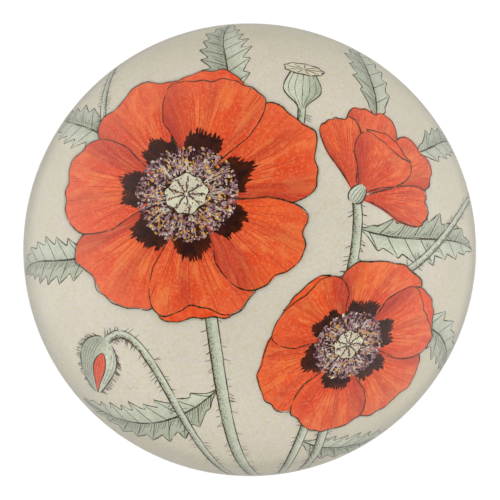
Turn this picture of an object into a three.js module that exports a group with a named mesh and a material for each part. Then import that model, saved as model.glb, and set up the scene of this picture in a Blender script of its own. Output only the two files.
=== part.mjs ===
// A domed desk paperweight: a solid clear glass dome, a round printed sheet glued face up
// against its flat underside, and a felt pad that covers the back of the sheet.
// Millimetres, +Z up. The origin is the centre of the felt's underside, where the part rests.

import * as THREE from "three";

// Driving dimensions
const OVERALL_DIAMETER = 82.5; // three and a quarter inches across the widest part of the glass
const OVERALL_HEIGHT = 36;
const FELT_THICKNESS = 1.2;
const PAPER_THICKNESS = 0.25;
const ARRIS_RADIUS = 1.2; // the rounded lower edge of the glass
const PAPER_INSET = 0.1; // the sheet stops this far inside the edge of the flat underside
const FELT_INSET = 0.7; // and the felt stops this far inside it

// How finely the round shapes are cut into flat faces
const STEPS_AROUND = 96;
const CROWN_STEPS = 26;
const ARRIS_STEPS = 5;

// Derived places
const FELT_TOP = FELT_THICKNESS;
const PAPER_TOP = FELT_TOP + PAPER_THICKNESS;
const GLASS_HEIGHT = OVERALL_HEIGHT - PAPER_TOP;
const FLAT_RADIUS = OVERALL_DIAMETER / 2 - ARRIS_RADIUS;
const PAPER_RADIUS = FLAT_RADIUS - PAPER_INSET;
const FELT_RADIUS = FLAT_RADIUS - FELT_INSET;

// The crown is one sphere, centred on the axis, that touches the arris circle from outside.
// With the crown's centre at height c over the flat and its radius GLASS_HEIGHT - c, the two
// circles touch where their centres lie GLASS_HEIGHT - c - ARRIS_RADIUS apart.
function crownCentreHeight() {
  const reach = GLASS_HEIGHT - ARRIS_RADIUS;
  return (reach ** 2 - FLAT_RADIUS ** 2 - ARRIS_RADIUS ** 2) / (2 * (reach - ARRIS_RADIUS));
}

const CROWN_CENTRE = crownCentreHeight();
const CROWN_RADIUS = GLASS_HEIGHT - CROWN_CENTRE;

function arc(centre, radius, from, to, steps) {
  const points = [];
  for (let i = 0; i <= steps; i++) {
    const angle = from + ((to - from) * i) / steps;
    points.push(
      new THREE.Vector2(
        centre.x + radius * Math.cos(angle),
        centre.y + radius * Math.sin(angle),
      ),
    );
  }
  return points;
}

// Half of the dome's section, from the middle of its flat underside round to its crown
function domeProfile() {
  const arrisCentre = new THREE.Vector2(FLAT_RADIUS, ARRIS_RADIUS);
  const crownCentre = new THREE.Vector2(0, CROWN_CENTRE);
  const meeting = Math.atan2(ARRIS_RADIUS - CROWN_CENTRE, FLAT_RADIUS);
  const arris = arc(arrisCentre, ARRIS_RADIUS, -Math.PI / 2, meeting, ARRIS_STEPS);
  const crown = arc(crownCentre, CROWN_RADIUS, meeting, Math.PI / 2, CROWN_STEPS);
  crown[CROWN_STEPS].x = 0;
  return [new THREE.Vector2(0, 0), ...arris, ...crown.slice(1)];
}

function discProfile(radius, thickness) {
  return [
    new THREE.Vector2(0, 0),
    new THREE.Vector2(radius, 0),
    new THREE.Vector2(radius, thickness),
    new THREE.Vector2(0, thickness),
  ];
}

// A profile turned round the vertical axis, standing on the height given
function turned(name, profile, height, material) {
  const geometry = new THREE.LatheGeometry(profile, STEPS_AROUND);
  geometry.rotateX(Math.PI / 2);
  const mesh = new THREE.Mesh(geometry, material);
  mesh.name = name;
  mesh.position.z = height;
  return mesh;
}

const glass = new THREE.MeshStandardMaterial({
  name: "clear glass",
  color: 0xe6ebe2,
  roughness: 0.02,
  metalness: 0,
  transparent: true,
  opacity: 0.35,
});
const paper = new THREE.MeshStandardMaterial({
  name: "printed paper",
  color: 0xd1cab8,
  roughness: 0.85,
  metalness: 0,
});
const felt = new THREE.MeshStandardMaterial({
  name: "charcoal felt",
  color: 0x2b2a2c,
  roughness: 1,
  metalness: 0,
});

const paperweight = new THREE.Group();
paperweight.add(
  turned("glass_dome", domeProfile(), PAPER_TOP, glass),
  turned("printed_sheet", discProfile(PAPER_RADIUS, PAPER_THICKNESS), FELT_TOP, paper),
  turned("felt_pad", discProfile(FELT_RADIUS, FELT_THICKNESS), 0, felt),
);

export default paperweight;
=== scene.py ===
# Looks of the domed glass paperweight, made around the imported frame: the clear dome, the printed
# flower sheet that shows through it, and the felt pad that it rests on.
import math
import random

import bpy
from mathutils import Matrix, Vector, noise


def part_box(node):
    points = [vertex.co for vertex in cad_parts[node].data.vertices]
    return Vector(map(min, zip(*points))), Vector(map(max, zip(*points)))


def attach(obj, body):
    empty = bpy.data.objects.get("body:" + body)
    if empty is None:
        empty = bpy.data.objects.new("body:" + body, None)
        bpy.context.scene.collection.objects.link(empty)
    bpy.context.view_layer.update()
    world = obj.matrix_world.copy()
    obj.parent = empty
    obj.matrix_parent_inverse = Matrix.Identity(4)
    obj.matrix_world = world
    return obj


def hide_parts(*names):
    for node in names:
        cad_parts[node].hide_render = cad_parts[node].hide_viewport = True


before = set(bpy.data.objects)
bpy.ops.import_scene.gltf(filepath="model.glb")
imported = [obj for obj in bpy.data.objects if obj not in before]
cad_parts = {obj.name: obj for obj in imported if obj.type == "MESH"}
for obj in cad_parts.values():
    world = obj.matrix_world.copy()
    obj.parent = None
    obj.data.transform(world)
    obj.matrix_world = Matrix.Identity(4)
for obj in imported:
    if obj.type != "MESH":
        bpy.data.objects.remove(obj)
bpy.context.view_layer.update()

MM = 0.001


def round_size(node):
    """The radius of a round node, and the heights of its foot and its top, in millimetres."""
    low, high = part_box(node)
    return [round(value / MM, 3) for value in (high.x, low.z, high.z)]


# Sizes of the solids, in millimetres. The paper stops a little inside the edge of the glass's flat
# underside, and the crown is one sphere that touches the rounded lower edge.
PAPER_RADIUS, PAPER_FOOT, GLASS_FOOT = round_size("printed_sheet")
FELT_RADIUS = round_size("felt_pad")[0]
GLASS_HEIGHT = round_size("glass_dome")[2] - GLASS_FOOT
PAPER_INSET = 0.1
ARRIS_RADIUS = 1.2
FLAT_RADIUS = PAPER_RADIUS + PAPER_INSET
WIDEST_RADIUS = FLAT_RADIUS + ARRIS_RADIUS
CROWN_REACH = GLASS_HEIGHT - ARRIS_RADIUS
CROWN_CENTRE = (CROWN_REACH**2 - FLAT_RADIUS**2 - ARRIS_RADIUS**2) / (2 * (CROWN_REACH - ARRIS_RADIUS))
CROWN_RADIUS = GLASS_HEIGHT - CROWN_CENTRE

# How finely the round pieces are turned
GLASS_STEPS = 256
CROWN_STEPS = 110
ARRIS_STEPS = 12
PAPER_STEPS = 192
FELT_STEPS = 240

# The paper's face lies just inside the glass. The films of colour and ink lie on it, each level
# above the one before it.
FACE_DEPTH = 0.01
PRINT_FACE = GLASS_FOOT + FACE_DEPTH
LEVEL_STEP = 0.004
WASH_THICKNESS = 0.002
INK_THICKNESS = 0.0015
PRINT_EDGE = 39.6

# Widths of the pen, and how far its lines swell and thin by chance
OUTLINE = 0.19
LEAF_OUTLINE = 0.17
MIDRIB = 0.2
SECOND_MIDRIB = 0.12
SIDE_VEIN = 0.13
HAIR = 0.07
STROKE_GRAIN = 0.45

# Painted light: the sheet is paler away from its middle, to make up for the light that reaches it less
# near the glass's edge: from and to in metres, then the tone at each. Painted shade darkens its edge,
# most at the front left, so that is counted from a place off the middle.
PAINTED_LIGHT_FROM_TO = (0.008, 0.033, 0.935, 1.16)
PAINTED_SHADE_FROM_TO = (0.035, 0.039, 1.0, 0.9)
PAINTED_SHADE_AROUND = (0.0023, 0.0033, 0.0)

# Painted shade: the bare paper turns a little olive towards its edge, as the glass's rim looks in
# shade, between two distances in metres
OLIVE_SHADE_FROM_TO = (0.026, 0.036)
OLIVE_SHADE_TINT = (0.99, 1.018, 0.962, 1.0)

# The camera looks straight down, and the dome fills the frame as in the photograph
FRAME_PIXELS = 500
DISC_PIXELS = 226.3
DISC_CENTRE = (249.65, 249.75)
CAMERA_HEIGHT = 900
SENSOR = 36

# Light: a white tent, brighter from the left and the right than from the front and the back
TENT_SIDES = 1.7
TENT_ENDS = 1.3
FLOOR_SIZE = 4
FLOOR_WHITE = 0.88
FLOOR_LIFT = 0.08

# The shares of the light that the glass mirrors, at the tent's front and back and then at its
# sides: from the tent, and from the floor further off and close to the object
MIRRORED_OVERHEAD = 0.08
MIRRORED_TENT = (0.2, 0.7)
MIRRORED_FLOOR_FAR = (0.31, 0.93)
MIRRORED_FLOOR_NEAR = (0.46, 0.54)
FLOOR_NEAR_FAR = (0.0425, 0.048)


def smooth(low, high, value):
    """0 at low and before, 1 at high and after, and an even bend between."""
    share = min(1.0, max(0.0, (value - low) / (high - low)))
    return share * share * (3 - 2 * share)


def between(low, high, share):
    return low + (high - low) * share


def shares(count):
    """Even shares from 0 to 1."""
    return [number / count for number in range(count + 1)]


def linear(red, green, blue):
    """A colour given in 0 to 255 as the screen shows it, as the renderer counts it."""
    def channel(value):
        value /= 255
        return value / 12.92 if value <= 0.04045 else ((value + 0.055) / 1.055) ** 2.4
    return (channel(red), channel(green), channel(blue), 1.0)


# Colours of the print, as they show through the glass
CREAM = linear(209, 200, 185)
CREAM_YELLOW = linear(205, 195, 169)
CREAM_LILAC = linear(207, 198, 190)
CREAM_AGED = linear(197, 185, 163)
FOXING = linear(176, 142, 98)
CORAL = linear(223, 68, 26)
CORAL_LIGHT = linear(230, 101, 56)
CORAL_DEEP = linear(200, 42, 14)
CORAL_ORANGE = linear(232, 95, 34)
CORAL_THIN = linear(234, 142, 100)
APRICOT = linear(238, 141, 72)
PLUM = linear(156, 42, 42)
BLOTCH = linear(36, 8, 1)
BLOTCH_WARM = linear(76, 28, 5)
SAGE_PALE = linear(205, 207, 190)
SAGE = linear(176, 181, 160)
SAGE_DEEP = linear(113, 123, 97)
INK = linear(25, 18, 11)
INK_DRY = linear(86, 67, 38)
RUST = linear(168, 55, 34)
HEART_CREAM = linear(214, 211, 187)
LAVENDER = linear(148, 108, 117)
LAVENDER_DARK = linear(102, 63, 70)
LAVENDER_PALE = linear(184, 159, 160)
OCHRE = linear(220, 168, 72)
OCHRE_DEEP = linear(196, 134, 56)

# Colours of the felt
FELT_DARK = linear(26, 25, 28)
FELT = linear(44, 43, 46)
FELT_PALE = linear(66, 64, 67)
FELT_STRAND = linear(104, 101, 102)

# The glass, whose tint comes from its depth
WHITE = (1.0, 1.0, 1.0, 1.0)
GLASS_TINT = (0.80, 0.92, 0.80, 1.0)
GLASS_TINT_DENSITY = 3.5
GLASS_BENDING = 1.5


# Shader helpers
def feed(sockets, values):
    """Link each value to the socket of its name, or set it there if it is a plain one."""
    for name, value in dict(values).items():
        if isinstance(value, Value):
            value.tree.links.new(value.socket, sockets[name])
        else:
            sockets[name].default_value = value


class Node:
    """A node set in a tree, fed by name or number, which gives its outputs as values."""

    def __init__(self, tree, kind, inputs=(), **settings):
        self.tree = tree
        self.made = tree.nodes.new(kind)
        for name, value in settings.items():
            setattr(self.made, name, value)
        feed(self.made.inputs, inputs)

    def __getitem__(self, name):
        return Value(self.tree, self.made.outputs[name])


class Value:
    """What a node gives, which is reckoned with as a number is."""

    def __init__(self, tree, socket):
        self.tree = tree
        self.socket = socket

    def maths(self, operation, other=0.0):
        return Node(self.tree, "ShaderNodeMath", {0: self, 1: other}, operation=operation)[0]

    def __add__(self, other):
        return self.maths("ADD", other)

    def __sub__(self, other):
        return self.maths("SUBTRACT", other)

    def __rsub__(self, other):
        return Node(self.tree, "ShaderNodeMath", {0: other, 1: self}, operation="SUBTRACT")[0]

    def __mul__(self, other):
        return self.maths("MULTIPLY", other)

    def ranged(self, low, high, out_low=0.0, out_high=1.0):
        """The value carried from one range to another, with an even bend."""
        numbers = enumerate((self, low, high, out_low, out_high))
        return Node(self.tree, "ShaderNodeMapRange", numbers, interpolation_type="SMOOTHSTEP")[0]

    def mixed(self, first, second, blend="MIX"):
        """The first colour, with this share of the second."""
        colours = {0: self, 6: first, 7: second}
        return Node(self.tree, "ShaderNodeMix", colours, data_type="RGBA", blend_type=blend)[2]

    def distance(self, centre=(0.0, 0.0, 0.0)):
        return Node(self.tree, "ShaderNodeVectorMath", {0: self, 1: centre}, operation="DISTANCE")["Value"]

    def speckle(self, scale, detail=3.0, roughness=0.5, distortion=0.0):
        given = {"Vector": self, "Scale": scale, "Detail": detail, "Roughness": roughness,
                 "Distortion": distortion}
        return Node(self.tree, "ShaderNodeTexNoise", given)["Fac"]

    def mottled(self, colour, other, scale, low, high, most, **grain):
        """A colour that turns to another, up to a share, in the patches of a speckle over this place."""
        return self.speckle(scale, **grain).ranged(low, high, 0.0, most).mixed(colour, other)


def vector_of(x, y, z):
    return Node(x.tree, "ShaderNodeCombineXYZ", enumerate((x, y, z)))[0]


def grey(value):
    return vector_of(value, value, value)


def object_place(tree):
    return Node(tree, "ShaderNodeTexCoord")["Object"]


def film_value(tree, name):
    """One of the values that the print's films carry at each of their points."""
    return Node(tree, "ShaderNodeAttribute", attribute_name=name)["Fac"]


def bumped(height, distance):
    return Node(height.tree, "ShaderNodeBump", {"Distance": distance, "Height": height})["Normal"]


def new_material(name, finish, *values):
    """A material whose Principled sockets are fed with what a finish gives."""
    material = bpy.data.materials.new(name)
    material.use_nodes = True
    tree = material.node_tree
    feed(tree.nodes["Principled BSDF"].inputs, finish(tree, *values))
    return material


def new_group(name, wanted, given, kind="Float"):
    """A node group, the node that brings in what is wanted, and the sockets of what it gives."""
    group = bpy.data.node_groups.new(name, "ShaderNodeTree")
    for socket in wanted:
        group.interface.new_socket(socket, in_out="INPUT", socket_type="NodeSocket" + kind)
    for socket in given:
        group.interface.new_socket(socket, in_out="OUTPUT", socket_type="NodeSocketFloat")
    return group, Node(group, "NodeGroupInput"), group.nodes.new("NodeGroupOutput").inputs


def paper_tooth_and_light_group():
    """The paper's fibres, its painted light and its painted shade, which show in the bare ground and through
    each colour on it.
    """
    group, begin, end = new_group("Paper tooth and painted light", ("Depth",), ("Tone", "Height"))
    place = object_place(group)
    fibres = place.speckle(2600, roughness=0.6, distortion=0.8)
    fine = place.speckle(5200, detail=2) * 0.3 + fibres * 0.7
    both = fine * 0.8 + place.speckle(160) * 0.2
    # Painted light: paler away from the middle, where less light comes through the glass.
    painted_light = place.distance().ranged(*PAINTED_LIGHT_FROM_TO)
    # Painted shade: darker at the edge, most at the front left.
    painted_shade = place.distance(PAINTED_SHADE_AROUND).ranged(*PAINTED_SHADE_FROM_TO)
    tone = ((both - 0.5) * begin["Depth"] + 1.0) * (painted_light * painted_shade)
    feed(end, {"Tone": tone, "Height": fine})
    return group


def brush_streaks_group():
    """Long thin marks, and broad soft pools, that a loaded brush leaves along a petal or a leaf."""
    wanted = ("Along", "Across", "Seed", "Fineness")
    group, begin, end = new_group("Brush streaks", wanted, ("Streak", "Pool"))
    seed = begin["Seed"] * 37.0
    across = begin["Across"] * begin["Fineness"]
    streak = vector_of(begin["Along"] * 1.6, across, seed).speckle(1.0, roughness=0.6)
    pool = vector_of(begin["Along"] * 1.2, across * 0.22, seed).speckle(2.0, detail=2)
    feed(end, {"Streak": streak.ranged(0.3, 0.72), "Pool": pool.ranged(0.32, 0.7)})
    return group


PAPER_TOOTH_AND_LIGHT = paper_tooth_and_light_group()
BRUSH_STREAKS = brush_streaks_group()


def on_paper(tree, paint, depth, *values):
    """Finish: a paint's colour laid on the paper, whose fibres, painted light and painted shade show through
    it.
    """
    tooth = Node(tree, "ShaderNodeGroup", {"Depth": depth}, node_tree=PAPER_TOOTH_AND_LIGHT)
    layers = {0: 1.0, 6: paint(tree, *values), 7: grey(tooth["Tone"])}
    colour = Node(tree, "ShaderNodeMix", layers, data_type="RGBA", blend_type="MULTIPLY")[2]
    return {"Base Color": colour, "Normal": bumped(tooth["Height"], 0.00001), "Roughness": 0.85,
            "Specular IOR Level": 0.02}


# Paints of the print
def streaks(tree, fineness):
    given = {"Along": film_value(tree, "along"), "Across": film_value(tree, "across"),
             "Seed": film_value(tree, "tone"), "Fineness": fineness}
    made = Node(tree, "ShaderNodeGroup", given, node_tree=BRUSH_STREAKS)
    return made["Streak"], made["Pool"]


def aged_cream(tree):
    """Cream stock, mottled in yellow and lilac, with small rusty spots and painted olive shade near its
    edge.
    """
    place = object_place(tree)
    ground = place.mottled(CREAM, CREAM_AGED, 45, 0.42, 0.75, 0.35)
    ground = place.mottled(ground, CREAM_YELLOW, 1700, 0.46, 0.64, 0.8, detail=2, distortion=0.4)
    ground = place.mottled(ground, CREAM_LILAC, 1350, 0.48, 0.66, 0.8, detail=2, distortion=0.4)
    ground = place.mottled(ground, FOXING, 420, 0.70, 0.80, 0.35, detail=2)
    # Painted shade: an olive tint over the bare paper near its edge.
    return place.distance().ranged(*OLIVE_SHADE_FROM_TO).mixed(ground, OLIVE_SHADE_TINT, blend="MULTIPLY")


def coral_wash(tree):
    """Coral in lengthwise strokes, lighter to the petal's tip, plum where it is in shade."""
    place = object_place(tree)
    along = film_value(tree, "along")
    streak, pool = streaks(tree, 11.0)
    colour = (pool * 0.6).mixed(CORAL, CORAL_LIGHT)
    colour = place.mottled(colour, CORAL_ORANGE, 170, 0.45, 0.7, 0.7, detail=2)
    colour = place.mottled(colour, CORAL_LIGHT, 900, 0.35, 0.7, 0.35, roughness=0.6)
    colour = (streak * 0.34).mixed(colour, CORAL_DEEP)
    off_middle = (film_value(tree, "across") + (pool - 0.4) * 0.9).maths("ABSOLUTE")
    lit = off_middle.ranged(0.06, 0.34, 1.0, 0.0) * along.ranged(0.3, 0.6)
    colour = (lit * streak.ranged(0.2, 0.9, 0.42, 0.12)).mixed(colour, APRICOT)
    colour = place.mottled(colour, CORAL_DEEP, 2600, 0.5, 0.72, 0.12, detail=2)
    colour = place.mottled(colour, CORAL_THIN, 2800, 0.46, 0.66, 0.38, roughness=0.6, distortion=0.3)
    colour = along.ranged(0.75, 1.0, 0.0, 0.35).mixed(colour, CORAL_LIGHT)
    shade = film_value(tree, "shade") * (streak * 0.4 + 0.6)
    colour = (shade * 0.85).mixed(colour, PLUM)
    return film_value(tree, "edge").ranged(0.0, 0.3, 0.35, 0.0).mixed(colour, CORAL_DEEP)


def dark_blotch(tree):
    """The dark heart of each petal, laid on thick, with a warm bloom in places."""
    streak, pool = streaks(tree, 12.0)
    colour = (pool * 0.5).mixed(BLOTCH, BLOTCH_WARM)
    return (streak * 0.05).mixed(colour, LAVENDER_DARK)


def sage_wash(tree):
    """Thin grey-green for leaves and stems, pooled darker on the shaded half."""
    colour = object_place(tree).mottled(SAGE_PALE, SAGE, 260, 0.35, 0.7, 0.55, detail=4, roughness=0.6)
    colour = (streaks(tree, 9.0)[0] * 0.3).mixed(colour, SAGE)
    colour = (film_value(tree, "shade") * 0.62).mixed(colour, SAGE_DEEP)
    return film_value(tree, "edge").ranged(0.0, 0.25, 0.3, 0.0).mixed(colour, SAGE_DEEP)


def two_toned(tree, colour, other, fineness=900):
    """An ink or a dab of colour that turns to another in places, as the paper took it."""
    return object_place(tree).mottled(colour, other, fineness, 0.3, 0.7, 1.0)


# The films of the print: short name, name of the piece and of its material, then its paint and how
# far the paper's fibres show through it. A plain film adds its two colours and their fineness.
PLAIN = (two_toned, 0.6)
FILMS = [
    ("leaves", "print_leaf_wash", "Sage leaf wash", sage_wash, 1.1),
    ("petals", "print_petal_wash", "Coral petal wash", coral_wash, 0.4),
    ("turned", "print_turned_edge_wash", "Pale coral wash", *PLAIN, CORAL_LIGHT, CORAL),
    ("blotch", "print_blotch_wash", "Dark blotch wash", dark_blotch, 1.2),
    ("feather", "print_blotch_feather", "Dark feathering", *PLAIN, BLOTCH, BLOTCH_WARM),
    ("pod", "print_pod_wash", "Pod cream", *PLAIN, HEART_CREAM, CREAM_AGED),
    ("lavender", "print_lavender_dabs", "Lavender dabs", *PLAIN, LAVENDER, LAVENDER_DARK),
    ("lavender_dark", "print_dark_lavender_dabs", "Dark lavender dabs", *PLAIN, LAVENDER_DARK, BLOTCH),
    ("lavender_pale", "print_pale_lavender_dabs", "Pale lavender dabs", *PLAIN, LAVENDER_PALE, LAVENDER),
    ("ochre", "print_ochre_dabs", "Ochre dabs", *PLAIN, OCHRE, OCHRE_DEEP),
    ("pale", "print_pale_dabs", "Cream dabs", *PLAIN, HEART_CREAM, LAVENDER_PALE),
    ("veins", "print_petal_veins", "Rust pen lines", *PLAIN, RUST, CORAL_DEEP),
    ("ink", "print_ink_lines", "Brown black ink", *PLAIN, INK, INK_DRY, 1900),
]


# Pieces
def new_piece(name, corners, faces, material, node):
    """A piece from corners in millimetres and faces, which stands for a node of the solids."""
    mesh = bpy.data.meshes.new(name)
    mesh.from_pydata([[value * MM for value in corner] for corner in corners], [], faces)
    mesh.materials.append(material)
    piece = bpy.data.objects.new(name, mesh)
    bpy.context.collection.objects.link(piece)
    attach(piece, "root")
    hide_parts(node)
    return piece


class Film:
    """Thin closed shapes of one colour laid on the paper, gathered into one piece."""

    def __init__(self, name, material):
        self.name = name
        self.material = material
        self.corners = []
        self.faces = []
        self.values = {"along": [], "across": [], "tone": [], "shade": [], "edge": []}

    def corner(self, x, y, height, along=0.5, across=0.0, tone=0.5, shade=0.0, edge=1.0):
        """Add a corner, held inside the sheet's edge, and give its number."""
        pull = min(1.0, PRINT_EDGE / max(math.hypot(x, y), MM))
        self.corners.append((x * pull, y * pull, height))
        for name, value in zip(self.values, (along, across, tone, shade, edge)):
            self.values[name].append(value)
        return len(self.corners) - 1

    def make(self):
        piece = new_piece(
            self.name, self.corners, self.faces, self.material, "printed_sheet")
        for name, values in self.values.items():
            piece.data.attributes.new(name, "FLOAT", "POINT").data.foreach_set("value", values)


# Marks of the brush and the pen
def level_height(level):
    return PRINT_FACE + level * LEVEL_STEP


def on_sheet(place):
    return math.hypot(*place) < PRINT_EDGE


def nothing(row, column):
    return 0.0


def lay_wash(film, point, rows, columns, level, tone, shade=nothing, edge=nothing, slip=(0.0, 0.0),
             whole_round=False):
    """Lay a closed film of colour over the points of rows and columns, and give its last row.

    The rows go from a shape's foot to its tip, and each runs from its right side to its left. Those
    past the sheet's edge are left off. A whole round is filled in the middle too.
    """
    places = [[point(row, column) for column in columns] for row in rows]
    grid = [[(x + slip[0], y + slip[1]) for x, y in line] for line in places]
    width = len(columns)
    last = min(len(rows) - 1, 1 + max(row for row, line in enumerate(grid) if any(map(on_sheet, line))))
    foot = level_height(level)
    numbers = []
    for height in (foot, foot + WASH_THICKNESS):
        for row, line in enumerate(grid[:last + 1]):
            for column, place in enumerate(line):
                spot = (rows[row], columns[column])
                numbers.append(film.corner(
                    *place, height, row / (len(rows) - 1), 2 * column / (width - 1) - 1,
                    tone, shade(*spot), edge(*spot)))

    def at(layer, row, column):
        return numbers[(layer * (last + 1) + row) * width + column % width]

    def cover(ring):
        film.faces.append([at(1, *spot) for spot in ring])
        film.faces.append([at(0, *spot) for spot in reversed(ring)])

    for row in range(last):
        for column in range(width if whole_round else width - 1):
            cover([(row, column), (row + 1, column), (row + 1, column + 1), (row, column + 1)])
    if whole_round:
        cover([(0, column) for column in range(width)])
        rim = [(last, column) for column in range(width + 1)]
    else:
        rim = [(row, 0) for row in range(last)]
        rim += [(last, column) for column in range(width - 1)]
        rim += [(row, width - 1) for row in range(last, 0, -1)]
        rim += [(0, column) for column in range(width - 1, -1, -1)]
    for here, there in zip(rim, rim[1:]):
        film.faces.append((at(0, *here), at(0, *there), at(1, *there), at(1, *here)))
    return grid[-1]


def lay_disc(film, place, reach, level, lobes=(), rings=(0.25, 0.5, 0.8, 1.0), steps=54):
    """Lay a round wash whose outline swings by (count, size, start), and give that outline."""
    def point(share, angle):
        swing = 1 + sum(size * math.sin(count * angle + start) for count, size, start in lobes)
        return place(angle, reach * share * swing)

    angles = [2 * math.pi * step / steps for step in range(steps)]
    rim = lay_wash(film, point, rings, angles, level, 0.5, whole_round=True)
    return rim + rim[:1]


def directions(path):
    """The unit direction at each point of a path."""
    found = []
    for before, after in zip(path[:1] + path[:-1], path[1:] + path[-1:]):
        step = (after[0] - before[0], after[1] - before[1])
        length = math.hypot(*step) or 1.0
        found.append((step[0] / length, step[1] / length))
    return found


def lay_stroke(film, path, width, level, swell=0.5, tone=0.5, ends=(0.15, 0.15)):
    """Lay a pen stroke: a low ridge with three edges, thin at its ends and fuller between."""
    path = [place for place in path if on_sheet(place)]
    if len(path) < 2:
        return
    foot = level_height(level) + WASH_THICKNESS
    rings = []
    for share, (x, y), (dx, dy) in zip(shares(len(path) - 1), path, directions(path)):
        full = math.sin(math.pi * share) ** swell
        grain = 1 + STROKE_GRAIN * noise.noise((x * 3, y * 3, tone * 50))
        half = width / 2 * between(between(*ends, share), 1, full) * grain
        rings.append((
            film.corner(x - dy * half, y + dx * half, foot, share, tone=tone),
            film.corner(x + dy * half, y - dx * half, foot, share, tone=tone),
            film.corner(x, y, foot + INK_THICKNESS, share, tone=tone)))
    for (left, right, top), (next_left, next_right, next_top) in zip(rings, rings[1:]):
        film.faces.append((left, top, next_top, next_left))
        film.faces.append((top, right, next_right, next_top))
        film.faces.append((right, left, next_left, next_right))
    film.faces.append(rings[0])
    film.faces.append(rings[-1][::-1])


def lay_dab(film, x, y, length, width, turn, level, dice, sides=7):
    """Lay a small dab of colour with an uneven outline, a little higher in the middle."""
    foot = level_height(level) + WASH_THICKNESS
    tone = dice.random()
    outline = []
    for number in range(sides):
        angle = 2 * math.pi * number / sides
        spread = 0.5 * dice.uniform(0.75, 1.2)
        along = math.cos(angle) * length * spread
        across = math.sin(angle) * width * spread
        outline.append((
            x + along * math.cos(turn) - across * math.sin(turn),
            y + along * math.sin(turn) + across * math.cos(turn)))
    if not on_sheet((x, y)):
        return
    ring = [film.corner(*place, foot, tone=tone) for place in outline]
    top = film.corner(x, y, foot + INK_THICKNESS, tone=tone)
    for here, there in zip(ring, ring[1:] + ring[:1]):
        film.faces.append((here, there, top))
    film.faces.append(ring[::-1])


def pen_line(film, path, width, level, dice, breaks=0.0):
    """Draw a path in ink, lifted off the paper here and there, with a hand's small unsteadiness."""
    phase = dice.uniform(0, 50)
    shaken = []
    for x, y in path:
        shaken.append((
            x + 0.05 * noise.noise((x * 0.8, y * 0.8, phase)),
            y + 0.05 * noise.noise((x * 0.8, y * 0.8, phase + 9))))
    start = 0
    while start < len(shaken) - 2:
        end = min(len(shaken), start + dice.randint(9, 26))
        if len(shaken) - end < 4:
            end = len(shaken)
        lay_stroke(film, shaken[start:end], width * dice.uniform(0.8, 1.2), level, tone=dice.random(),
                   ends=(0.45, 0.45))
        start = end - 1
        if dice.random() < breaks:
            start += dice.choice((1, 2))


def bezier(first, second, third, fourth, count):
    """Points along a bend with two end points and two pulls."""
    found = []
    for t in shares(count - 1):
        parts = ((1 - t)**3, 3 * t * (1 - t)**2, 3 * t * t * (1 - t), t**3)
        found.append(tuple(
            sum(part * point[axis] for part, point in zip(parts, (first, second, third, fourth)))
            for axis in (0, 1)))
    return found


def any_turn(dice):
    """A place to start in something that repeats, a full turn or a shade over."""
    return dice.uniform(0, 6.3)


def any_kind(dice, weights):
    """One of the kinds, each as likely as its weight."""
    return dice.choices(list(weights), list(weights.values()))[0]


# Petals
PETAL_ROWS = 22
PETAL_COLUMNS = 23
PETAL_START = 0.1
FOLD_START = 0.996
FOLD_END = 1.012
LONG_VEINS = 16
SHORT_VEINS = 12
FEATHERS = 34


class Bloom:
    """A flower seen at a slant: round in itself, and narrowed towards the side that it faces."""

    def __init__(self, centre, radius, facing, narrowing, lift, seed):
        self.centre = centre
        self.radius = radius
        self.facing = math.radians(facing)
        self.narrowing = narrowing
        self.lift = lift
        self.dice = random.Random(seed)

    def place(self, angle, distance):
        along = distance * math.cos(angle - self.facing) * self.narrowing
        along += self.lift * distance * distance / self.radius
        across = distance * math.sin(angle - self.facing)
        return (
            self.centre[0] + along * math.cos(self.facing) - across * math.sin(self.facing),
            self.centre[1] + along * math.sin(self.facing) + across * math.cos(self.facing))


class Petal:
    """A broad petal that fans out from the heart to a rippled margin."""

    def __init__(self, bloom, turn, half_width, length, dark_side, fold=None):
        self.bloom = bloom
        self.turn = math.radians(turn)
        self.half_width = math.radians(half_width)
        self.length = length * bloom.radius
        self.dark_side = dark_side
        self.fold = fold
        dice = bloom.dice
        self.waves = [(count, any_turn(dice), dice.uniform(0.5, 1.3) * 0.045 / count)
                      for count in (2, 3, 5, 8)]
        self.folds = any_turn(dice)
        self.bend = math.radians(dice.uniform(-5, 5))
        self.slip = (dice.uniform(-0.2, 0.2), dice.uniform(-0.2, 0.2))
        self.tone = dice.random()

    def margin(self, spread):
        ripple = sum(size * math.sin(count * math.pi * spread + start) for count, start, size in self.waves)
        return self.length * (1 - 0.07 * spread**2 - 0.33 * abs(spread)**7 + ripple * (1 - abs(spread)**3))

    def point(self, reach, spread):
        angle = self.turn + spread * self.half_width * (0.6 + 0.4 * reach) + self.bend * reach * reach
        return self.bloom.place(angle, self.margin(spread) * reach)

    def line(self, low, high, spread, count, drift=0.0):
        """A line along the petal, which may drift outwards as it goes."""
        return [self.point(between(low, high, share), spread * (1 + drift * share))
                for share in shares(count)]

    def shade(self, reach, spread):
        side = 0.8 * smooth(0.35, 1.0, spread * self.dark_side)
        heart = 0.5 * smooth(0.62, 0.25, reach)
        crease = max(0.0, math.sin(spread * 7 + self.folds)) ** 3
        crease *= 0.42 * smooth(0.25, 0.7, reach) * smooth(1.05, 0.8, reach)
        return min(1.0, side + heart + crease)

    def edge(self, reach, spread):
        rim = self.margin(spread)
        return min((1 - reach) * rim, (1 - abs(spread)) * self.half_width * reach * rim)


def spreads(count, low=-1.0, high=1.0):
    """Places across a petal, closer together near its two sides."""
    middle = (low + high) / 2
    half = (high - low) / 2
    return [middle + half * math.sin(math.pi * (share - 0.5)) for share in shares(count - 1)]


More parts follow.
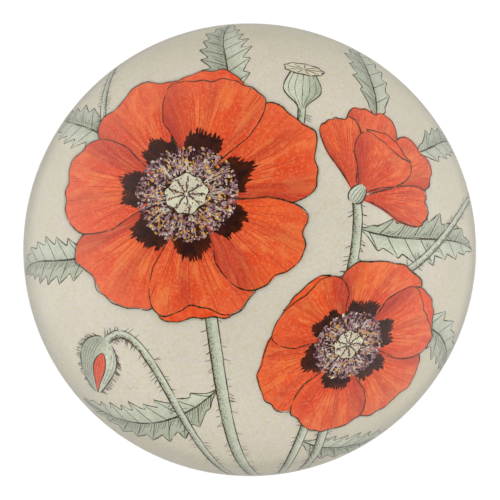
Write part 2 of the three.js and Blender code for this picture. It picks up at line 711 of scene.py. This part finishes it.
def draw_petal(films, petal, level):
    """Lay a petal's wash, its pen outline, and its long and short veins."""
    dice = petal.bloom.dice
    reaches = [between(PETAL_START, 1, share) for share in shares(PETAL_ROWS - 1)]
    lay_wash(films["petals"], petal.point, reaches, spreads(PETAL_COLUMNS), level, petal.tone,
             petal.shade, petal.edge, petal.slip)
    for side in (-1, 1):
        pen_line(films["ink"], petal.line(0.3, 1, side, 30), OUTLINE, level, dice, breaks=0.2)
    rim = [petal.point(1.0, spread) for spread in spreads(90)]
    pen_line(films["ink"], rim, OUTLINE, level, dice, breaks=0.22)

    for number in range(LONG_VEINS):
        spread = 1.84 * (number + dice.uniform(-0.3, 0.3)) / (LONG_VEINS - 1) - 0.92
        vein = petal.line(dice.uniform(0.35, 0.55), dice.uniform(0.6, 0.9), spread, 10, drift=0.04)
        lay_stroke(films["veins"], vein, dice.uniform(0.05, 0.09), level, 0.5, dice.random(), (0.7, 0.1))
    for _ in range(SHORT_VEINS):
        spread = dice.uniform(-0.9, 0.9)
        vein = petal.line(0.985, 0.985 - dice.uniform(0.05, 0.2), spread, 6)
        lay_stroke(films["veins"], vein, dice.uniform(0.05, 0.08), level, 0.5, dice.random(), (0.7, 0.1))


def draw_fold(films, petal, level):
    """Lay the pale strip where a petal's margin turns over towards the eye."""
    middle, half, depth = petal.fold

    def point(share, spread):
        inner = FOLD_START - depth * max(0.0, math.cos(math.pi / 2 * (spread - middle) / half)) ** 1.3
        return petal.point(between(inner, FOLD_END, share), spread)

    def shade(share, spread):
        return 0.35 * (1 - share)

    def edge(share, spread):
        return min(share, 1 - share) * depth * petal.length

    across = spreads(17, middle - half, middle + half)
    lay_wash(films["turned"], point, shares(4), across, level, petal.tone, shade, edge)
    for share in (0, 1):
        line = [point(share, spread) for spread in spreads(36, middle - half, middle + half)]
        pen_line(films["ink"], line, OUTLINE, level, petal.bloom.dice)


def draw_blotch(films, petal, level, reach_to):
    """Lay the dark mark at a petal's foot, with a feathered outer edge."""
    dice = petal.bloom.dice
    phase = any_turn(dice)

    def outer(spread):
        return reach_to * (1 - 0.22 * abs(spread)**3 + 0.05 * math.sin(6 * spread + phase))

    def point(share, spread):
        return petal.point(between(PETAL_START, outer(spread), share), spread)

    lay_wash(films["blotch"], point, shares(7), spreads(19, -0.86, 0.86), level, petal.tone)
    for number in range(FEATHERS):
        spread = 1.68 * (number + dice.uniform(-0.4, 0.4)) / (FEATHERS - 1) - 0.84
        start = outer(spread) * 0.93
        line = petal.line(start, start + dice.uniform(0.03, 0.09), spread, 4)
        lay_stroke(films["feather"], line, dice.uniform(0.18, 0.34), level, 0.3, dice.random(), (1.0, 0.08))


# Hearts of the flowers
def draw_heart(films, bloom, level, core, ring):
    """Draw the flower's heart: a pale pod with dark rays, in a ring of lavender and ochre stamens."""
    lay_disc(films["blotch"], bloom.place, ring * 0.9, level, ((7, 0.06, 0.4), (3, 0.05, 2.0)))
    rim = lay_disc(films["pod"], bloom.place, core, level + 4, ((9, 0.05, 0.0), (4, 0.04, 1.0)))
    pen_line(films["ink"], rim, SIDE_VEIN, level + 4, bloom.dice, breaks=0.25)
    draw_rays(films, bloom, level + 4, core)
    draw_threads(films, bloom, level + 1, core, ring)
    draw_stamens(films, bloom, level, core, ring)
    draw_specks(films, bloom, level + 5, core)


def draw_rays(films, bloom, level, core, count=9):
    """Draw the rough dark rays on the pod's top, dab by dab."""
    dice = bloom.dice
    for number in range(count):
        angle = 2 * math.pi * (number + dice.uniform(-0.15, 0.15)) / count
        for share in shares(12):
            x, y = bloom.place(angle + dice.uniform(-0.09, 0.09), core * between(0.14, 0.88, share))
            kind = any_kind(dice, {"lavender_dark": 50, "lavender": 25, "ink": 25})
            lay_dab(films[kind], x, y, core * dice.uniform(0.1, 0.17), core * 0.08,
                    angle + dice.uniform(-0.5, 0.5), level, dice)


def draw_threads(films, bloom, level, core, ring):
    """Draw the fine threads that carry the stamens."""
    dice = bloom.dice
    for _ in range(int(42 * ring)):
        angle = dice.uniform(0, 2 * math.pi)
        start = core * dice.uniform(0.95, 1.3)
        end = dice.uniform(0.55, 1.08) * ring
        lean = dice.uniform(-0.12, 0.12)
        path = [bloom.place(angle + lean * share, between(start, end, share)) for share in shares(5)]
        film = films["pale"] if dice.random() < 0.45 else films["lavender_dark"]
        lay_stroke(film, path, dice.uniform(0.07, 0.14), level, 0.3, ends=(0.8, 0.4))


def draw_stamens(films, bloom, level, core, ring):
    """Dab the stamens round the pod, with most of the ochre and cream nearer to it."""
    dice = bloom.dice
    for _ in range(int(44 * (ring**2 - core**2))):
        share = dice.random() ** 0.75
        x, y = bloom.place(dice.uniform(0, 2 * math.pi), between(core * 1.02, ring * 1.08, share))
        kind = any_kind(dice, {
            "lavender": 29, "lavender_dark": 16, "lavender_pale": 24, "ochre": 23 if share < 0.7 else 7,
            "pale": 16 if share < 0.6 else 5, "ink": 4})
        lay_dab(films[kind], x, y, dice.uniform(0.25, 0.62), dice.uniform(0.16, 0.36), dice.uniform(0, 3.1),
                level + dice.choice((1, 2, 3)), dice)


def draw_specks(films, bloom, level, core):
    """Dab small specks of pollen over the pod."""
    dice = bloom.dice
    for _ in range(int(11 * core**2)):
        x, y = bloom.place(any_turn(dice), core * dice.uniform(0.1, 1.0) ** 0.6)
        size = dice.uniform(0.08, 0.22)
        kind = any_kind(dice, {"ink": 35, "lavender": 25, "ochre": 15, "lavender_pale": 25})
        lay_dab(films[kind], x, y, size * 1.8, size, dice.uniform(0, 3.1), level, dice, sides=5)


# Leaves
LEAF_ROWS = 61
LEAF_COLUMNS = 11
HATCHES = 5


class Leaf:
    """A toothed leaf along a bent spine, whose two sides have teeth of their own."""

    def __init__(self, spine, width, lobes, depth, dark_side, seed):
        self.dice = dice = random.Random(seed)
        self.path = bezier(*spine, LEAF_ROWS)
        self.ways = directions(self.path)
        self.width = width
        self.lobes = lobes
        self.depth = depth
        self.dark_side = dark_side
        self.phases = (dice.uniform(0, 1), dice.uniform(0, 1))
        self.sizes = [[dice.uniform(0.55, 1.15) for _ in range(lobes + 2)] for _ in self.phases]
        self.tone = dice.random()
        self.slip = (dice.uniform(-0.15, 0.15), dice.uniform(-0.15, 0.15))

    def half_width(self, share, spread):
        body = max(0.0, math.sin(math.pi * share ** 0.85)) ** 0.8 * smooth(-0.02, 0.14, share)
        number, turn = divmod(share * self.lobes + self.phases[spread > 0], 1.0)
        rise = turn / 0.72 if turn < 0.72 else (1 - turn) / 0.28
        tooth = self.sizes[spread > 0][int(number)] * rise ** 1.1
        return self.width * (body * (1 - self.depth + self.depth * tooth) + 0.03)

    def at(self, share, spread):
        """A point at a share of the spine, and at a share of the half width to its left."""
        low = min(LEAF_ROWS - 2, int(share * (LEAF_ROWS - 1)))
        part = share * (LEAF_ROWS - 1) - low
        (x, y), (next_x, next_y) = self.path[low:low + 2]
        dx, dy = self.ways[low]
        out = self.half_width(share, spread) * spread
        lead = 0.35 * abs(out)
        return (
            between(x, next_x, part) - dy * out + dx * lead,
            between(y, next_y, part) + dx * out + dy * lead)

    def rib(self, foot, reach, spread, count):
        """A line from the midrib at foot, reaching so far along the leaf and to one side."""
        return [self.at(foot + reach * share ** 1.4, spread * share) for share in shares(count)]

    def shade(self, share, spread):
        return (0.55 if spread * self.dark_side > 0 else 0.08) + 0.35 * smooth(0.5, 0.0, abs(spread))

    def edge(self, share, spread):
        return (1 - abs(spread)) * self.half_width(share, spread)


def draw_leaf(films, leaf, level):
    """Lay a leaf's wash, then its outline, midrib and side veins in ink."""
    across = [between(-1, 1, share) for share in shares(LEAF_COLUMNS - 1)]
    lay_wash(films["leaves"], leaf.at, shares(LEAF_ROWS - 1), across, level, leaf.tone,
             leaf.shade, leaf.edge, leaf.slip)
    for spread, points, width, breaks in (
            (-1, shares(150), LEAF_OUTLINE, 0.2), (1, shares(150), LEAF_OUTLINE, 0.2),
            (0.0, shares(50), MIDRIB, 0.0), (0.05, shares(50)[:30], SECOND_MIDRIB, 0.0)):
        pen_line(films["ink"], [leaf.at(share, spread) for share in points], width, level, leaf.dice, breaks)
    for side in (-1, 1):
        for number in range(leaf.lobes):
            draw_leaf_vein(films["ink"], leaf, level, side, number)


def draw_leaf_vein(film, leaf, level, side, number):
    """Draw the vein out to one tooth, with hatching beside it on the darker half."""
    foot = (number + 0.35 - leaf.phases[side > 0]) / leaf.lobes
    tip = (number + 0.72 - leaf.phases[side > 0]) / leaf.lobes
    if foot < 0.02 or tip > 0.97:
        return
    lay_stroke(film, leaf.rib(foot, tip - foot, side * 0.93, 10), SIDE_VEIN, level, 0.4, ends=(0.9, 0.2))
    if side * leaf.dark_side > 0:
        for line in range(1, HATCHES + 1):
            start = foot + line / (HATCHES + 1) / leaf.lobes
            hatch = leaf.rib(start, tip - foot, side * leaf.dice.uniform(0.35, 0.8), 6)
            lay_stroke(film, hatch, HAIR, level, 0.4, ends=(0.9, 0.2))


# Stems, buds, pods and joints, which are all blades
class Blade:
    """A shape whose width changes along a path."""

    def __init__(self, films, path, half_width, level, dice):
        self.films = films
        self.path = path
        self.ways = directions(path)
        self.half_width = half_width
        self.level = level
        self.dice = dice

    def half(self, number):
        return self.half_width(number / (len(self.path) - 1))

    def beside(self, number, out, lead=0.0):
        """The place to the left of a point of the path by out, and further along by lead."""
        (x, y), (dx, dy) = self.path[number], self.ways[number]
        return (x - dy * out + dx * lead, y + dx * out + dy * lead)

    def at(self, number, part, lead=0.0):
        return self.beside(number, self.half(number) * part, lead)

    def edge(self, number, part):
        return self.half(number) * (1 - abs(part))

    def line(self, part):
        """The line that runs along the blade at a part of its half width."""
        return [self.at(number, part) for number in range(len(self.path))]

    def lay(self, kind, shading, slip=(0.0, 0.0)):
        """Lay the blade's wash, with a shade for each of its columns."""
        columns = {between(-1, 1, share): shade for share, shade in zip(shares(len(shading) - 1), shading)}
        lay_wash(self.films[kind], self.at, range(len(self.path)), list(columns), self.level,
                 self.dice.random(), lambda number, part: columns[part], self.edge, slip)

    def pen(self, part, width, breaks=0.0):
        """Draw the line at a part of the half width in ink."""
        pen_line(self.films["ink"], self.line(part), width, self.level, self.dice, breaks)

    def dab(self, place, length, width, turn):
        lay_dab(self.films["ink"], *place, length, width, turn, self.level, self.dice, sides=5)

    def hairs(self, count):
        """Draw the fine hairs that stand off both sides."""
        for _ in range(count):
            number = self.dice.randint(1, len(self.path) - 2)
            side = self.dice.choice((-1, 1))
            reach = self.dice.uniform(0.5, 1.1)
            slant = self.dice.uniform(0.1, 0.6)
            hair = [self.beside(number, side * (self.half(number) + reach * share), slant * share)
                    for share in shares(4)]
            lay_stroke(self.films["ink"], hair, HAIR, self.level, 0.3, ends=(0.9, 0.1))


def draw_stem(films, spine, width, level, seed):
    """Lay a stem: a narrow wash, two pen lines, stippling on its shaded side, and fine hairs."""
    dice = random.Random(seed)
    stem = Blade(films, bezier(*spine, 80), lambda share: width / 2, level, dice)
    stem.lay("leaves", (0.85, 0.5, 0.15, 0.0, 0.05), slip=(0.1, -0.08))
    stem.pen(-1, 0.19, breaks=0.12)
    stem.pen(1, 0.14, breaks=0.12)
    for _ in range(len(stem.path) * 7):
        number = dice.randint(1, len(stem.path) - 2)
        place = stem.at(number, min(0.9, abs(dice.gauss(0, 0.45)) - 0.92), dice.uniform(-0.4, 0.4))
        dx, dy = stem.ways[number]
        stem.dab(place, dice.uniform(0.1, 0.26), 0.085, math.atan2(dy, dx))
    stem.hairs(80)


def draw_bud(films, spine, width, level, seed):
    """Lay a nodding bud: a hairy green egg that has split down its front, with coral in the split."""
    dice = random.Random(seed)

    def egg(share):
        return width / 2 * max(0.0, math.sin(math.pi * (0.035 + 0.945 * share) ** 0.88)) ** 0.62

    bud = Blade(films, bezier(*spine, 41), egg, level, dice)
    bud.lay("leaves", [0.85 * smooth(10, 2, column) + 0.25 * smooth(9, 12, column) for column in range(13)])
    for side in (-1, 1):
        bud.pen(side, OUTLINE, breaks=0.06)
    for part in (-0.86, -0.72, -0.58, -0.44, -0.3, 0.66, 0.84):
        line = bud.line(part)[dice.randint(3, 8):dice.randint(30, 37)]
        pen_line(films["ink"], line, 0.06, level, dice, breaks=0.5)
    for _ in range(90):
        place = bud.at(dice.randint(3, 37), dice.uniform(-0.9, 0.9))
        bud.dab(place, dice.uniform(0.15, 0.4), 0.07, dice.uniform(-1.2, -0.4))
    draw_split(films, bud.line(0.16)[11:], width, level + 1, dice)
    bud.hairs(110)


def draw_split(films, path, width, level, dice):
    """Lay the slit down a bud's front, with the folded petals showing in it."""
    def slit(share):
        return width * (0.015 + 0.15 * max(0.0, math.sin(math.pi * share ** 0.75)) ** 1.3)

    split = Blade(films, path, slit, level, dice)
    split.lay("petals", (0.7, 0.3, 0.0, 0.2, 0.5, 0.1, 0.0, 0.3, 0.8))
    for side in (-1, 1):
        split.pen(side, OUTLINE)
    for part in (-0.5, -0.1, 0.35):
        lay_stroke(films["veins"], split.line(part)[4:26], 0.1, level, tone=dice.random())


def draw_pod(films, spine, width, level, seed, rays=9):
    """Lay a ripe seed pod: a ribbed urn under a scalloped, rayed cap."""
    def urn(share):
        return width / 2 * (0.22 + 0.78 * smooth(0.0, 0.5, share) - 0.34 * smooth(0.55, 1.0, share))

    pod = Blade(films, bezier(*spine, 36), urn, level, random.Random(seed))
    pod.lay("leaves", [smooth(0.7, 0.0, share) * 0.75 for share in shares(12)])
    for part in (-1, -0.72, -0.38, 0.0, 0.4, 0.75, 1):
        pod.pen(part, 0.18 if abs(part) == 1 else 0.08, breaks=0.15)
    (x, y), (tip_x, tip_y) = pod.path[-4], pod.path[-1]
    turn = math.degrees(math.atan2(tip_y - y, tip_x - x))
    cap = Bloom((tip_x, tip_y), width / 2, turn, narrowing=0.36, lift=0.0, seed=seed)
    rim = lay_disc(films["pod"], cap.place, width * 0.54, level + 1, ((rays, 0.05, math.pi / 2),), steps=90)
    pen_line(films["ink"], rim, OUTLINE, level + 1, pod.dice)
    for number in range(rays):
        angle = 2 * math.pi * number / rays
        ray = [cap.place(angle, width * between(0.03, 0.53, share)) for share in shares(5)]
        lay_stroke(films["ink"], ray, 0.12, level + 1, 0.4)


def draw_joint(films, spine, width, level, seed):
    """Lay the small green swelling where a flower sits on its stem."""
    def swelling(share):
        return width / 2 * math.sin(math.pi * min(1.0, 0.1 + 0.8 * share)) ** 0.7

    joint = Blade(films, bezier(*spine, 12), swelling, level, random.Random(seed))
    joint.lay("leaves", (0.8, 0.5, 0.25, 0.1, 0.0, 0.05, 0.1))
    for side in (-1, 1):
        joint.pen(side, LEAF_OUTLINE)
    for part in (-0.65, -0.3, 0.1, 0.5):
        lay_stroke(films["ink"], joint.line(part), 0.08, level, 0.4)


# The whole print, in millimetres from the sheet's middle. A spine is two ends with two pulls between.
# Stems: spine from the flower down, width, seed
STEMS = [
    (((-8, 5), (-3, -14), (-5, -26), (2, -42)), 1.6, 11),
    (((13, -13), (10, -22), (12, -30), (8, -42)), 1.4, 12),
    (((14.4, 7.5), (16, -2), (8, -18), (5, -42)), 1.25, 13),
    (((-20.2, -12.9), (-14.5, -6.5), (-9, -27), (-2, -42)), 1.1, 14),
    (((7.2, 19.8), (7, 12), (2, 8), (0, 6)), 1.0, 15),
    (((-19, 12), (-24, 22), (-22, 32), (-27, 42)), 1.0, 16),
    (((19, -4), (27, -2), (32, 8), (42, 10)), 1.0, 17),
]
# Leaves: spine from the foot to the tip, half width, teeth on a side, their depth, darker side, seed
LEAVES = [
    (((-3, 20), (-2, 27), (-6, 32), (-3, 39.5)), 4.2, 8, 0.42, 1, 21),
    (((-18, 14), (-23, 19), (-30, 20), (-34, 24)), 3.8, 7, 0.4, -1, 22),
    (((-20, 0), (-27, -3), (-33, 0), (-39.5, -4)), 3.8, 8, 0.42, 1, 23),
    (((-4.2, -19), (-11, -26), (-19, -28.5), (-28, -25)), 4.2, 10, 0.42, 1, 24),
    (((7.4, -28), (12, -32.5), (19, -33), (27, -33)), 3.6, 8, 0.42, -1, 25),
    (((14.5, 3), (22, 0), (28, 3), (37, 0)), 3.8, 8, 0.4, 1, 26),
    (((22, -10), (28, -11), (34, -16), (36, -24)), 3.6, 7, 0.4, -1, 27),
    (((18, 18), (20, 25), (17, 31), (20, 37)), 3.6, 7, 0.4, 1, 28),
    (((24, 14), (30, 16), (33, 20), (39, 19)), 3.2, 6, 0.4, 1, 30),
]
POD_SPINE = ((7.2, 19.6), (7.3, 21.5), (7.5, 23.5), (7.9, 26.2))
BUD_SPINE = ((-20.2, -12.9), (-21.6, -14.6), (-23.0, -17.5), (-23.3, -21.8))
JOINT_SPINE = ((13.9, 6.4), (14.2, 7.0), (14.7, 7.6), (15.6, 8.7))

# Petals, the rearmost first: turn and half width in degrees, length as a share of the flower's
# radius, darker side, and the middle, half width and depth of its fold where it has one
CUP_PETALS = [
    (72, 25, 1.0, 1),
    (30, 26, 1.0, -1),
    (103, 21, 0.86, 1),
    (-3, 21, 0.85, -1),
    (50, 38, 0.78, 1, (0.05, 0.62, 0.13)),
]
SMALL_PETALS = [
    (75, 40, 1.0, 1),
    (195, 40, 1.0, -1),
    (315, 40, 0.97, 1),
    (135, 38, 0.97, -1, (-0.2, 0.45, 0.09)),
    (255, 38, 0.96, 1),
    (15, 38, 0.96, 1, (0.25, 0.5, 0.10)),
]
LARGE_PETALS = [
    (20, 34, 0.98, -1),
    (122, 33, 0.98, 1),
    (228, 34, 0.99, -1),
    (72, 33, 0.97, 1, (0.15, 0.5, 0.08)),
    (172, 33, 0.97, -1),
    (278, 33, 1.0, 1, (-0.2, 0.45, 0.09)),
    (326, 31, 0.97, -1),
]


def draw_cup(films, level):
    """Draw the half-open flower from its side: back petals, side petals, and the folded front one."""
    cup = Bloom((14.4, 7.2), 13.2, facing=50, narrowing=1.0, lift=0.0, seed=33)
    for petal in [Petal(cup, *row) for row in CUP_PETALS]:
        draw_petal(films, petal, level)
        if petal.fold:
            draw_fold(films, petal, level + 1)
        level += 2
    draw_joint(films, JOINT_SPINE, 2.3, level, 34)
    return level + 1


def draw_bloom(films, bloom, rows, level, blotch=0.48, core=0.15, ring=0.34):
    """Draw a whole open flower, each petal over the one before, and its heart last."""
    for petal in [Petal(bloom, *row) for row in rows]:
        draw_petal(films, petal, level)
        if petal.fold:
            draw_fold(films, petal, level + 1)
            level += 1
        draw_blotch(films, petal, level + 1, blotch)
        level += 2
    draw_heart(films, bloom, level, core * bloom.radius, ring * bloom.radius)
    return level + 6


def draw_print(films):
    """Draw the whole sheet from the back to the front: leaves, stems, pod, bud and flowers."""
    for level, row in enumerate(LEAVES):
        draw_leaf(films, Leaf(*row), level)
    level = len(LEAVES)
    for spine, width, seed in STEMS:
        draw_stem(films, spine, width, level, seed)
        level += 1
    draw_pod(films, POD_SPINE, 5.4, level, 31)
    draw_bud(films, BUD_SPINE, 6.2, level + 2, 32)
    level = draw_cup(films, level + 4)
    small = Bloom((13.5, -13), 14.2, facing=-50, narrowing=0.84, lift=0.12, seed=42)
    level = draw_bloom(films, small, SMALL_PETALS, level)
    large = Bloom((-8.5, 7.5), 19, facing=110, narrowing=0.93, lift=0.04, seed=51)
    draw_bloom(films, large, LARGE_PETALS, level)


def make_print():
    films = {kind: Film(name, new_material(finish, on_paper, *paint))
             for kind, name, finish, *paint in FILMS}
    draw_print(films)
    for film in films.values():
        film.make()


# Pieces turned on a wheel
def level_round(angle, radius, height):
    return radius, height


def turned(name, profile, steps, material, node, wobble=level_round):
    """A round piece from (radius, height) pairs, from the axis out and back to it."""
    corners = []
    rings = []
    faces = []
    for radius, height in profile:
        if radius == 0:
            rings.append([len(corners)] * steps)
            corners.append((0.0, 0.0, height))
            continue
        rings.append(range(len(corners), len(corners) + steps))
        for step in range(steps):
            angle = 2 * math.pi * step / steps
            reach, rise = wobble(angle, radius, height)
            corners.append((reach * math.cos(angle), reach * math.sin(angle), rise))
    for inner, outer in zip(rings, rings[1:]):
        for step in range(steps):
            after = (step + 1) % steps
            faces.append(list(dict.fromkeys((inner[step], inner[after], outer[after], outer[step]))))
    return new_piece(name, corners, faces, material, node)


def dome_profile():
    """The solid's own outline: flat underside, rounded lower edge, and crown up to its top."""
    meeting = math.atan2(ARRIS_RADIUS - CROWN_CENTRE, FLAT_RADIUS)
    profile = [(FLAT_RADIUS * share, 0.0) for share in shares(8)[:-1]]
    for share in shares(ARRIS_STEPS):
        angle = between(-math.pi / 2, meeting, share)
        profile.append((FLAT_RADIUS + ARRIS_RADIUS * math.cos(angle), ARRIS_RADIUS * (1 + math.sin(angle))))
    for share in shares(CROWN_STEPS)[1:-1]:
        angle = between(meeting, math.pi / 2, share)
        profile.append((CROWN_RADIUS * math.cos(angle), CROWN_CENTRE + CROWN_RADIUS * math.sin(angle)))
    profile.append((0.0, GLASS_HEIGHT))
    return [(radius, height + GLASS_FOOT) for radius, height in profile]


def pressed_glass(tree):
    """Finish: clear, faintly green where it is thick, with the slight swell of a fired surface."""
    tint = {"Color": GLASS_TINT, "Density": GLASS_TINT_DENSITY}
    feed(tree.nodes["Material Output"].inputs, {"Volume": Node(tree, "ShaderNodeVolumeAbsorption", tint)[0]})
    swell = object_place(tree).speckle(70, detail=1)
    return {"Transmission Weight": 1.0, "IOR": GLASS_BENDING, "Roughness": 0.0, "Base Color": WHITE,
            "Normal": bumped(swell, 0.00006)}


def pressed_felt(tree):
    """Finish: matted tufts and fibres of wool in charcoal, with paler strands and thin places."""
    place = object_place(tree)
    tufts = place.speckle(420, detail=4, roughness=0.65, distortion=1.5)
    mat = place.speckle(1400, detail=5, roughness=0.7, distortion=2.5)
    strands = place.speckle(3600, roughness=0.6, distortion=4.0)
    colour = tufts.ranged(0.35, 0.68).mixed(FELT_DARK, FELT)
    colour = mat.ranged(0.4, 0.72, 0.0, 0.7).mixed(colour, FELT_PALE)
    colour = strands.ranged(0.6, 0.74, 0.0, 0.6).mixed(colour, FELT_STRAND)
    return {"Base Color": colour, "Normal": bumped(tufts * 1.5 + (mat + strands), 0.0003),
            "Roughness": 0.95, "Specular IOR Level": 0.2, "Sheen Weight": 0.08}


def make_glass():
    glass = new_material("Clear glass", pressed_glass)
    piece = turned("clear_dome", dome_profile(), GLASS_STEPS, glass, "glass_dome")
    piece.data.shade_smooth()


def make_paper():
    foot = [(PAPER_RADIUS * share, PAPER_FOOT) for share in shares(2)]
    face = [(radius, PRINT_FACE) for radius, _ in reversed(foot)]
    paper = new_material("Aged cream paper", on_paper, aged_cream, 0.55)
    turned("paper_sheet", foot + face, PAPER_STEPS, paper, "printed_sheet")


def felt_nap(angle, radius, height):
    """Roughen the felt: its edge by a little each way, and its underside upwards alone."""
    x = radius * math.cos(angle)
    y = radius * math.sin(angle)
    rough = noise.noise((x * 1.5, y * 1.5, height * 2))
    fine = noise.noise((x * 5, y * 5, height * 5))
    if radius >= FELT_RADIUS - 1.5:
        return radius + 0.10 * rough + 0.08 * fine - 0.1, height
    return radius, max(0.0, height + 0.02 * (rough + fine)) if height < PAPER_FOOT / 2 else height


def make_felt():
    """Turn the pad: a napped underside, a side that bulges by a hair, and a flat top."""
    profile = [(FELT_RADIUS * share, 0.02) for share in shares(40)[:-1]]
    profile += [(FELT_RADIUS - 0.2, 0.0), (FELT_RADIUS, 0.25), (FELT_RADIUS + 0.02, 0.5), (FELT_RADIUS, 0.8),
                (FELT_RADIUS - 0.05, PAPER_FOOT), (FELT_RADIUS / 2, PAPER_FOOT), (0.0, PAPER_FOOT)]
    felt = new_material("Charcoal felt", pressed_felt)
    turned("felt_base", profile, FELT_STEPS, felt, "felt_pad", wobble=felt_nap)


# Floor, light and camera
def sideways_group():
    """How far a place or a direction lies to the left or right, rather than to the front or back."""
    group, begin, end = new_group("Sideways", ("Place",), ("Share",), kind="Vector")
    parts = Node(group, "ShaderNodeSeparateXYZ", {0: begin["Place"]})
    left_right = parts["X"] * parts["X"]
    around = (left_right + parts["Y"] * parts["Y"]).maths("MAXIMUM", 1e-9)
    feed(end, {"Share": left_right.maths("DIVIDE", around)})
    return group


SIDEWAYS = sideways_group()


def from_ends_to_sides(place, at_ends, at_sides):
    """A value that goes from one at the front and back to another at the left and right."""
    share = Node(place.tree, "ShaderNodeGroup", {"Place": place}, node_tree=SIDEWAYS)["Share"]
    return share * (at_sides - at_ends) + at_ends


def held_back(kept):
    """1 where a thing is seen or lights the scene, and the kept share where the glass only mirrors it."""
    path = Node(kept.tree, "ShaderNodeLightPath")
    mirrored = path["Is Glossy Ray"] * (1.0 - path["Is Transmission Ray"])
    return 1.0 - mirrored * (1.0 - kept)


def studio_white(tree):
    """Finish: white, lifted a little where the camera sees it, with its mirror image held back."""
    place = object_place(tree)
    near = from_ends_to_sides(place, *MIRRORED_FLOOR_NEAR)
    far = from_ends_to_sides(place, *MIRRORED_FLOOR_FAR)
    white = held_back(place.distance().ranged(*FLOOR_NEAR_FAR, near, far)) * FLOOR_WHITE
    seen = Node(tree, "ShaderNodeLightPath")["Is Camera Ray"]
    return {"Base Color": grey(white), "Roughness": 0.9, "Specular IOR Level": 0.0,
            "Emission Color": grey(seen), "Emission Strength": FLOOR_LIFT}


def make_floor():
    bpy.ops.mesh.primitive_plane_add(size=FLOOR_SIZE)
    floor = bpy.context.object
    floor.name = "studio_floor"
    floor.data.materials.append(new_material("White studio floor", studio_white))


def make_light():
    """A white tent all round, with its mirror image in the glass held back as a polariser does."""
    world = bpy.data.worlds.new("Light tent")
    bpy.context.scene.world = world
    world.use_nodes = True
    tree = world.node_tree
    place = Node(tree, "ShaderNodeTexCoord")["Generated"]
    height = Node(tree, "ShaderNodeSeparateXYZ", {0: place})["Z"]
    kept = height.ranged(0.0, 0.9, from_ends_to_sides(place, *MIRRORED_TENT), MIRRORED_OVERHEAD)
    strength = held_back(kept) * from_ends_to_sides(place, TENT_ENDS, TENT_SIDES)
    feed(tree.nodes["Background"].inputs, {"Color": WHITE, "Strength": strength})


def make_camera():
    """Look straight down at the disc's own size and place in the photograph's frame."""
    data = bpy.data.cameras.new("camera")
    camera = bpy.data.objects.new("camera", data)
    bpy.context.collection.objects.link(camera)
    millimetres = WIDEST_RADIUS / DISC_PIXELS
    middle = FRAME_PIXELS / 2
    camera.location = (
        (middle - DISC_CENTRE[0]) * millimetres * MM,
        (DISC_CENTRE[1] - middle) * millimetres * MM,
        CAMERA_HEIGHT * MM)
    data.sensor_width = SENSOR
    data.lens = SENSOR / 2 * (CAMERA_HEIGHT - GLASS_FOOT - ARRIS_RADIUS) / (middle * millimetres)
    bpy.context.scene.camera = camera


make_camera()
make_light()
make_floor()
make_felt()
make_paper()
make_print()
make_glass()
bpy.context.scene.view_settings.view_transform = "Standard"
